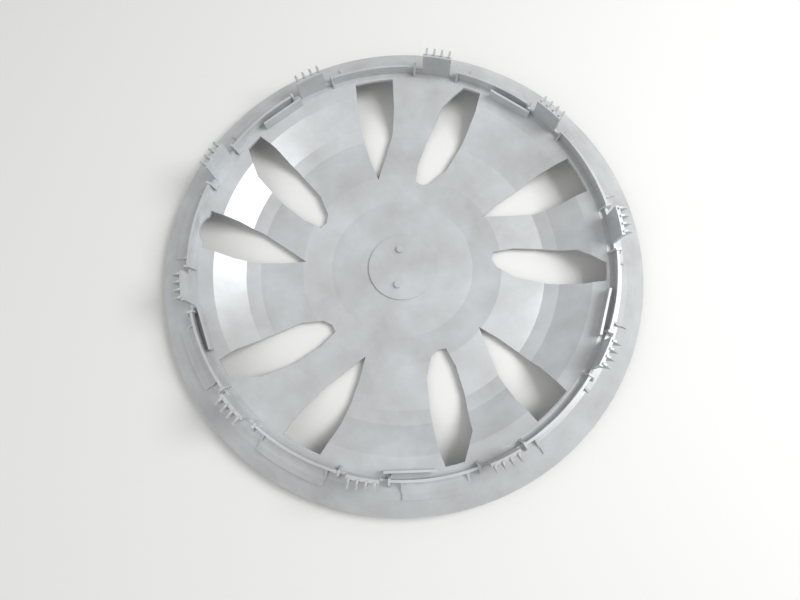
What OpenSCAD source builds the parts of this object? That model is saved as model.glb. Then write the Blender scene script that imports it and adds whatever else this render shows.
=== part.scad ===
// Wheel cover for a 15 inch wheel, a single silver-grey moulding.
// It lies face down, so the side that faces the wheel is on top and the floor is z = 0.
// Angles run anticlockwise as seen from above. All sizes are in millimetres.

/* [Overall] */
// Outer diameter of the cover
cover_d = 400; // [380:1:430]
// Wall thickness of the moulding
wall_t = 2.5; // [2:0.1:3.5]
// Diameter over the tips of the spring clips, set by the wheel rim
clip_d = 358; // [350:1:366]

/* [Dish] */
// Radius out to which the web is level
flat_r = 60; // [52:0.5:66]
// Radius at which the shallow inner slope ends
slope_r = 84; // [76:0.5:92]
// Height of the shallow inner slope
slope_h = 3.5; // [1:0.1:6]
// Radius at which the dish starts to rise to the wall
rise_r = 120; // [110:0.5:130]
// Height of the rise from the web to the wall
rise_h = 21; // [14:0.5:28]

/* [Hub] */
// Radius of the raised hub disc
hub_r = 28.3; // [22:0.1:32]
// Height of the hub disc above the web
hub_step = 1.6; // [0.8:0.1:3]
// Diameter of the two studs on the hub
stud_d = 6; // [4:0.1:9]
// Height of the studs above the hub disc
stud_h = 2.4; // [1:0.1:5]
// Distance between the two studs
stud_gap = 31; // [22:0.5:38]

/* [Windows] */
// Gap between the outer end of the windows and the outside of the wall
window_margin = 7.3; // [5:0.1:10]
// Radius of the arc that clears the tyre valve
valve_r = 14; // [10:0.5:17]
// How far the valve arc reaches past the end of its window
valve_reach = 5; // [2:0.1:6]

/* [Wall and clips] */
// Height of the ring wall above the shelf
ring_h = 9; // [6:0.5:14]
// Thickness of the ring wall
ring_t = 2; // [1.4:0.1:3]
// Width of each spring tongue
tongue_w = 24; // [18:0.5:30]
// Width of the slot at each side of a tongue
slot_w = 6; // [4:0.5:8]
// Reach of a barb out from the ring wall
barb_reach = 7; // [5:0.5:9]
// Thickness of a barb
barb_t = 1.6; // [1.2:0.1:2.4]
// Distance between neighbouring barbs
barb_pitch = 6.3; // [5:0.1:7]
// Height of the barb tips above the shelf on the first clips
tip_h = 20; // [16:0.5:24]
// Extra height of the barb tips on the second clips
tip_extra = 3; // [0:0.5:5]
// Thickness of the ribs and gussets
rib_t = 1.8; // [1.2:0.1:2.6]
// Length of the flat slabs inside the wall
slab_l = 38; // [28:1:44]
// Height of the flat slabs above the shelf
slab_h = 9; // [6:0.5:14]

/* [Flange] */
// Drop of the flange from the wall to its outer edge
flange_drop = 15.5; // [10:0.5:18]
// Height of the raised panels on the flange
panel_h = 1.5; // [0.8:0.1:2.5]
// Width of the raised panels on the flange
panel_w = 14; // [8:0.5:18]

/* [Hidden] */
$fn = 96;
sectors = 5;
sector_a = 360 / sectors;
first_a = 180;
web_z = wall_t;
shelf_z = web_z + slope_h + rise_h;
wall_r = clip_d / 2 - barb_reach;
ring_in_r = wall_r - ring_t;
window_r = wall_r - window_margin;
shelf_r = window_r + 1.3;
cover_r = cover_d / 2;
edge_r = 1;
clip_1_a = 12.15;
clip_2_a = -24.8;
clip_base = 4;
recess_a = 9.4;
rise_steps = 4;
flange_steps = 4;

// Silver-grey paint over moulded plastic
silver = [0.74, 0.75, 0.77];

// Angle in degrees of a length measured along a circle
function along(length, radius) = length / radius * 180 / PI;

// Points on an arc about the middle, both ends included
function arc(radius, from, to, steps) =
    [for (i = [0 : steps]) radius * [cos(from + (to - from) * i / steps), sin(from + (to - from) * i / steps)]];

// Wedge-shaped windows, with a tip near the hub and an arc at the wall
wedge_low = [[82, 0], [100, -11], [120, -22.5], [140, -29.5]];
wedge_top = [[140, 3], [120, 3.5], [100, 2.5]];
wedge = concat(wedge_low, arc(window_r, -11.9, -0.5, 3), wedge_top);

// Leaf-shaped windows between the wedges
leaf_left = [[72, -31], [67.5, -36], [67, -44], [75, -60], [95, -80], [115, -96.5]];
leaf_right = [[128, -70], [107, -51], [87.5, -37.5]];
leaf = concat(leaf_left, arc(window_r, -39.1, -33.9, 2), leaf_right);

// Height of the side of the web that faces the wheel, out to the shelf at the wall
web_line = concat(
    [[0, web_z], [flat_r, web_z], [slope_r, web_z + slope_h], [rise_r, web_z + slope_h]],
    [for (i = [1 : rise_steps])
        [rise_r + (shelf_r - rise_r) * i / rise_steps,
         web_z + slope_h + rise_h * (1 - cos(180 * i / rise_steps)) / 2]]);

function flange_z(r) = shelf_z - flange_drop * pow(max(0, r - wall_r) / (cover_r - wall_r), 1.4);

flange_line = [for (i = [0 : flange_steps])
    let (r = wall_r + (cover_r - edge_r - wall_r) * i / flange_steps)
    [r, flange_z(r)]];

function lifted(line, by) = [for (p = line) [p[0], p[1] + by]];
function backwards(line) = [for (i = [len(line) - 1 : -1 : 0]) line[i]];

module each_sector() {
    for (s = [0 : sectors - 1])
        rotate(first_a - sector_a * s)
            children();
}

// Dish and flange in one turned wall
module dish() {
    line = concat(web_line, flange_line);
    edge = [[cover_r, flange_z(cover_r) - edge_r], [cover_r, flange_z(cover_r) - wall_t + edge_r / 2]];
    rotate_extrude()
        polygon(concat(lifted(line, 0), edge, backwards(lifted(line, -wall_t))));
}

module windows() {
    translate([0, 0, -1])
        each_sector() {
            linear_extrude(height = 3 * shelf_z)
                polygon(wedge);
            linear_extrude(height = 3 * shelf_z)
                polygon(leaf);
        }
    rotate(first_a - 6.2)
        translate([window_r + valve_reach - valve_r, 0, -1])
            cylinder(r = valve_r, h = 3 * shelf_z);
}

// A flat plate that stands on a line out from the middle
module fin(outline, thickness) {
    rotate([90, 0, 0])
        translate([0, 0, -thickness / 2])
            linear_extrude(height = thickness)
                polygon(outline);
}

module ring_wall() {
    slot_a = along(tongue_w / 2 + slot_w / 2, wall_r);
    difference() {
        rotate_extrude()
            translate([ring_in_r, shelf_z - wall_t / 2])
                square([ring_t, ring_h + wall_t / 2]);
        each_sector()
            for (c = [clip_1_a, clip_2_a])
                for (side = [-1, 1])
                    rotate(c + side * slot_a)
                        translate([ring_in_r - 1, -slot_w / 2, shelf_z + clip_base])
                            cube([ring_t + 2, slot_w, ring_h]);
    }
}

// One spring tongue with its four barbs and the ribs at its sides
module clip(tip) {
    half_a = along(tongue_w / 2, wall_r);
    side_a = along(tongue_w / 2 + slot_w + rib_t / 2, wall_r);
    tip_z = shelf_z + tip;
    rotate(-half_a)
        rotate_extrude(angle = 2 * half_a)
            translate([ring_in_r - 0.3, shelf_z - wall_t / 2])
                square([ring_t + 0.6, tip + 1.2 + wall_t / 2]);
    for (i = [-1.5 : 1.5])
        rotate(i * along(barb_pitch, wall_r))
            fin([
                [wall_r - 0.6, shelf_z + clip_base],
                [wall_r + 1, shelf_z + clip_base],
                [wall_r + barb_reach / 2, tip_z - 8],
                [wall_r + barb_reach, tip_z],
                [wall_r + barb_reach / 3, tip_z + 2.4],
                [wall_r - 0.6, tip_z + 2.4]
            ], barb_t);
    for (side = [-1, 1])
        rotate(side * side_a)
            fin([
                [shelf_r, shelf_z - wall_t / 2],
                [wall_r + 5, flange_z(wall_r + 5) - wall_t / 2],
                [wall_r + 1.5, shelf_z + ring_h + 1],
                [ring_in_r - 0.8, shelf_z + ring_h + 1]
            ], rib_t);
}

// Triangular gussets at the ends of the recess behind a clip
module gussets() {
    for (side = [-1, 1])
        rotate(side * recess_a)
            fin([
                [wall_r - ring_t / 2, shelf_z - wall_t / 2],
                [wall_r + panel_w - 2, flange_z(wall_r + panel_w - 2) - wall_t / 2],
                [wall_r - ring_t / 2, shelf_z + ring_h - 1.5]
            ], rib_t);
}

// A raised panel on the flange, between the angles from and to
module panel(from, to) {
    radii = [for (i = [0 : 3]) wall_r - ring_t / 2 + (panel_w + ring_t / 2) * i / 3];
    high = [for (r = radii) [r, flange_z(r) + panel_h]];
    low = [for (r = radii) [r, flange_z(r) - wall_t / 2]];
    rotate(from)
        rotate_extrude(angle = to - from)
            polygon(concat(low, backwards(high)));
}

module slabs() {
    rotate(-48.6)
        translate([window_r - 1.5, -slab_l / 2, shelf_z - 3])
            cube([rib_t, slab_l, slab_h + 3]);
}

module cover() {
    color(silver)
        difference() {
            union() {
                dish();
                translate([0, 0, web_z - wall_t / 2])
                    cylinder(r = hub_r, h = hub_step + wall_t / 2);
                for (side = [-1, 1])
                    translate([-2.5, side * stud_gap / 2, web_z])
                        cylinder(d = stud_d, h = hub_step + stud_h);
                ring_wall();
                each_sector() {
                    rotate(clip_1_a)
                        clip(tip_h);
                    rotate(clip_2_a)
                        clip(tip_h + tip_extra);
                    rotate(clip_1_a)
                        gussets();
                    rotate(clip_2_a)
                        gussets();
                    panel(clip_2_a + recess_a, clip_1_a - recess_a);
                    panel(clip_1_a + recess_a, clip_2_a - recess_a + sector_a);
                    slabs();
                }
            }
            windows();
        }
}

cover();
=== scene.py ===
"""A silver-grey plastic wheel cover that lies face down on a pale floor, seen from above."""
import math

import bpy
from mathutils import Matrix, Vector

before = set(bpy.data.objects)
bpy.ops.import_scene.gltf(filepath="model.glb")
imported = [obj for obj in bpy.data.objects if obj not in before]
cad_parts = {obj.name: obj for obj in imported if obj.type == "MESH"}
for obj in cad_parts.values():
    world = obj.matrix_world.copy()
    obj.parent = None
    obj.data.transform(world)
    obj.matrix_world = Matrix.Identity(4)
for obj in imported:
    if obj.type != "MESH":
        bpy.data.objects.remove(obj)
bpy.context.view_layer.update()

# Camera, in the cover's own frame
CAMERA_MM = (16.1, -129.6, 457.0)
CAMERA_TURN_DEG = (12.65, 1.28, 3.41)
LENS_MM = 24.9
SENSOR_MM = 36.0
NEAR_CLIP_M = 0.01

# Pale floor
FLOOR_HALF_M = 3.0
FLOOR_HEX = "#E4E4E2"
FLOOR_ROUGHNESS = 0.9

# Soft lamps: a key from the right and a fill from the left, under an even sky
KEY_AT_M = (0.9, 0.15, 1.1)
KEY_SIZE_M = 0.7
KEY_WATTS = 16.0
FILL_AT_M = (-0.8, -0.6, 1.2)
FILL_SIZE_M = 1.5
FILL_WATTS = 5.0
SKY_STRENGTH = 0.45

# Silver paint: a dusty and a clean tone, in patches about 45 mm across
DUSTY_HEX = "#B4B5B5"
CLEAN_HEX = "#CDD1D4"
DUST_PER_M = 22.0
DUST_DETAIL = 4.0
DUST_BREAKUP = 0.6
DUST_FROM = 0.3
DUST_TO = 0.7
DUSTY_ROUGHNESS = 0.42
CLEAN_ROUGHNESS = 0.3
PAINT_METALLIC = 0.25
PAINT_IOR = 1.5

# Grain of the paint, about 0.7 mm across
GRAIN_PER_M = 1400.0
GRAIN_DETAIL = 2.0
GRAIN_STRENGTH = 0.05
GRAIN_DEPTH_M = 0.0004


def linear(hex_colour):
    """An sRGB hex colour as the linear colour that the shaders read."""
    parts = [int(hex_colour[i:i + 2], 16) / 255 for i in (1, 3, 5)]
    return tuple(c / 12.92 if c <= 0.04045 else ((c + 0.055) / 1.055) ** 2.4 for c in parts) + (1.0,)


def node(tree, kind, links=(), **values):
    """Adds a node, sets its inputs by name, and links (input, source socket) pairs."""
    made = tree.nodes.new(kind)
    for name, value in values.items():
        made.inputs[name.replace("_", " ")].default_value = value
    for name, source in links:
        tree.links.new(source, made.inputs[name])
    return made


def silver_moulding():
    """Moulded ABS with a thin silver paint: satin, a little uneven, with dust in its broad areas."""
    material = bpy.data.materials.new("silver_painted_abs")
    material.use_nodes = True
    tree = material.node_tree
    tree.nodes.clear()
    place = node(tree, "ShaderNodeTexCoord").outputs["Object"]
    dust = node(
        tree, "ShaderNodeTexNoise", [("Vector", place)],
        Scale=DUST_PER_M, Detail=DUST_DETAIL, Roughness=DUST_BREAKUP,
    ).outputs["Fac"]
    tone = node(tree, "ShaderNodeValToRGB", [("Fac", dust)])
    dusty, clean = tone.color_ramp.elements
    dusty.position = DUST_FROM
    dusty.color = linear(DUSTY_HEX)
    clean.position = DUST_TO
    clean.color = linear(CLEAN_HEX)
    gloss = node(
        tree, "ShaderNodeMapRange", [("Value", dust)],
        To_Min=DUSTY_ROUGHNESS, To_Max=CLEAN_ROUGHNESS,
    )
    grain = node(
        tree, "ShaderNodeTexNoise", [("Vector", place)],
        Scale=GRAIN_PER_M, Detail=GRAIN_DETAIL,
    )
    bump = node(
        tree, "ShaderNodeBump", [("Height", grain.outputs["Fac"])],
        Strength=GRAIN_STRENGTH, Distance=GRAIN_DEPTH_M,
    )
    surface = [
        ("Base Color", tone.outputs["Color"]),
        ("Roughness", gloss.outputs["Result"]),
        ("Normal", bump.outputs["Normal"]),
    ]
    shader = node(
        tree, "ShaderNodeBsdfPrincipled", surface,
        Metallic=PAINT_METALLIC, IOR=PAINT_IOR,
    )
    node(tree, "ShaderNodeOutputMaterial", [("Surface", shader.outputs["BSDF"])])
    return material


def pale_floor():
    """A plain floor at the height that the cover rests on."""
    mesh = bpy.data.meshes.new("floor")
    h = FLOOR_HALF_M
    mesh.from_pydata([(-h, -h, 0), (h, -h, 0), (h, h, 0), (-h, h, 0)], [], [(0, 1, 2, 3)])
    floor = bpy.data.objects.new("floor", mesh)
    bpy.context.scene.collection.objects.link(floor)
    material = bpy.data.materials.new("pale_floor")
    material.use_nodes = True
    shader = material.node_tree.nodes["Principled BSDF"]
    shader.inputs["Base Color"].default_value = linear(FLOOR_HEX)
    shader.inputs["Roughness"].default_value = FLOOR_ROUGHNESS
    mesh.materials.append(material)


def soft_lamp(name, at, size, watts):
    """A square lamp that faces the cover's middle."""
    data = bpy.data.lights.new(name, "AREA")
    data.size = size
    data.energy = watts
    lamp = bpy.data.objects.new(name, data)
    lamp.location = at
    lamp.rotation_mode = "QUATERNION"
    lamp.rotation_quaternion = (-Vector(at)).to_track_quat("-Z", "Y")
    bpy.context.scene.collection.objects.link(lamp)


def sky():
    """An even white light from all round."""
    world = bpy.data.worlds.new("studio")
    world.use_nodes = True
    background = world.node_tree.nodes["Background"]
    background.inputs["Color"].default_value = (1.0, 1.0, 1.0, 1.0)
    background.inputs["Strength"].default_value = SKY_STRENGTH
    bpy.context.scene.world = world


def camera():
    """The camera, looking down on the cover from a little in front of its middle."""
    data = bpy.data.cameras.new("camera")
    data.sensor_width = SENSOR_MM
    data.lens = LENS_MM
    data.clip_start = NEAR_CLIP_M
    eye = bpy.data.objects.new("camera", data)
    eye.location = [c / 1000 for c in CAMERA_MM]
    eye.rotation_euler = [math.radians(a) for a in CAMERA_TURN_DEG]
    bpy.context.scene.collection.objects.link(eye)
    bpy.context.scene.camera = eye


camera()
pale_floor()
soft_lamp("key", KEY_AT_M, KEY_SIZE_M, KEY_WATTS)
soft_lamp("fill", FILL_AT_M, FILL_SIZE_M, FILL_WATTS)
sky()

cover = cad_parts["cover"]
cover.data.materials.clear()
cover.data.materials.append(silver_moulding())

bpy.context.scene.view_settings.view_transform = "Standard"
